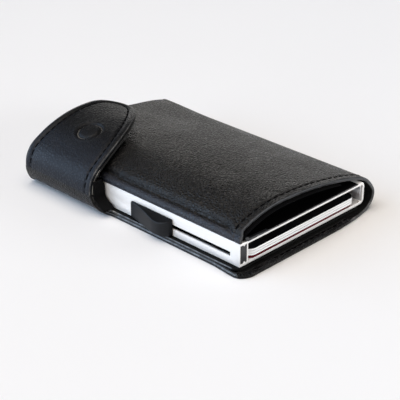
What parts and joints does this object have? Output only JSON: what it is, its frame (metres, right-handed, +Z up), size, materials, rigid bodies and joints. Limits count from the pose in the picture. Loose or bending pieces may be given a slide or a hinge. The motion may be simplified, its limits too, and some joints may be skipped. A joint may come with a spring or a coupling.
{
  "type": "wallet",
  "caption": "Slim black leather wallet folded round an aluminium card case, with a note pocket, a thumb slider that fans the cards out and a magnetic closing tab.",
  "frame": {"origin": "on the face that the wallet lies on, under the middle of the card case", "axes": "+X across the width from slider to fold, +Y along the length away from the mouth of the card case, +Z up from the resting face"},
  "size_m": [0.0736, 0.1035, 0.0224],
  "materials": {
    "cover_leather": "fine pebbled grain, semi-matt, dark stitching",
    "lining_leather": "smooth, with a paler raw edge",
    "pocket_cloth": "matt woven lining",
    "case_metal": "bright anodised, fine satin",
    "lever_plastic": "matt moulded, softly rounded edges",
    "dark_plastic": "matt moulded",
    "spring_steel": "fine brushed",
    "magnet_metal": "nickel plated",
    "white_card": "laminated, plain",
    "red_card": "laminated, plain",
    "adhesive": "thin bonding sheet"
  },
  "bodies": {
    "base": {"card_case": "case_metal", "end_cap": "dark_plastic", "channel_plug": "dark_plastic", "spring_leaf": "spring_steel", "back_panel": "cover_leather", "back_lining": "lining_leather", "case_adhesive": "adhesive"},
    "slider": {"slider_lever": "lever_plastic", "slider_carriage": "dark_plastic", "card_pusher": "dark_plastic"},
    "card_1_body": {"card_1": "red_card"},
    "card_2_body": {"card_2": "white_card"},
    "card_3_body": {"card_3": "white_card"},
    "card_4_body": {"card_4": "white_card"},
    "front_cover": {"front_panel": "cover_leather", "pocket_panel": "pocket_cloth", "keeper_plate": "spring_steel", "keeper_patch": "lining_leather"},
    "tab_wall_body": {"tab_wall": "cover_leather", "tab_wall_lining": "lining_leather"},
    "tab_flap_body": {"tab_flap": "cover_leather", "tab_flap_lining": "lining_leather", "flap_magnet": "magnet_metal"}
  },
  "joints": [
    {"name": "slider_slide", "type": "slide", "parent": "base", "child": "slider", "axis": [0, -1, 0], "range_m": [0, 0.026]},
    {"name": "card_1_slide", "type": "slide", "parent": "base", "child": "card_1_body", "axis": [0, -1, 0], "range_m": [0, 0.026]},
    {"name": "card_2_slide", "type": "slide", "parent": "base", "child": "card_2_body", "axis": [0, -1, 0], "range_m": [0, 0.0232]},
    {"name": "card_3_slide", "type": "slide", "parent": "base", "child": "card_3_body", "axis": [0, -1, 0], "range_m": [0, 0.0204]},
    {"name": "card_4_slide", "type": "slide", "parent": "base", "child": "card_4_body", "axis": [0, -1, 0], "range_m": [0, 0.0176]},
    {"name": "cover_open", "type": "hinge", "parent": "base", "child": "front_cover", "pos_m": [0.03518, 0, 0.00626], "axis": [0, 1, 0], "range_deg": [0, 40]},
    {"name": "tab_wall_fold", "type": "hinge", "parent": "base", "child": "tab_wall_body", "pos_m": [-0.03631, 0.03165, 0.00219], "axis": [0, -1, 0], "range_deg": [0, 80]},
    {"name": "tab_flap_fold", "type": "hinge", "parent": "tab_wall_body", "child": "tab_flap_body", "pos_m": [-0.03725, 0.03165, 0.01315], "axis": [0, -1, 0], "range_deg": [0, 68]}
  ],
  "couplings": [
    {"joint": "card_1_slide", "follows": "slider_slide", "ratio": 1},
    {"joint": "card_2_slide", "follows": "slider_slide", "ratio": 0.8923},
    {"joint": "card_3_slide", "follows": "slider_slide", "ratio": 0.7846},
    {"joint": "card_4_slide", "follows": "slider_slide", "ratio": 0.6769},
    {"joint": "tab_wall_fold", "follows": "cover_open", "ratio": 2},
    {"joint": "tab_flap_fold", "follows": "cover_open", "ratio": 1.7}
  ]
}
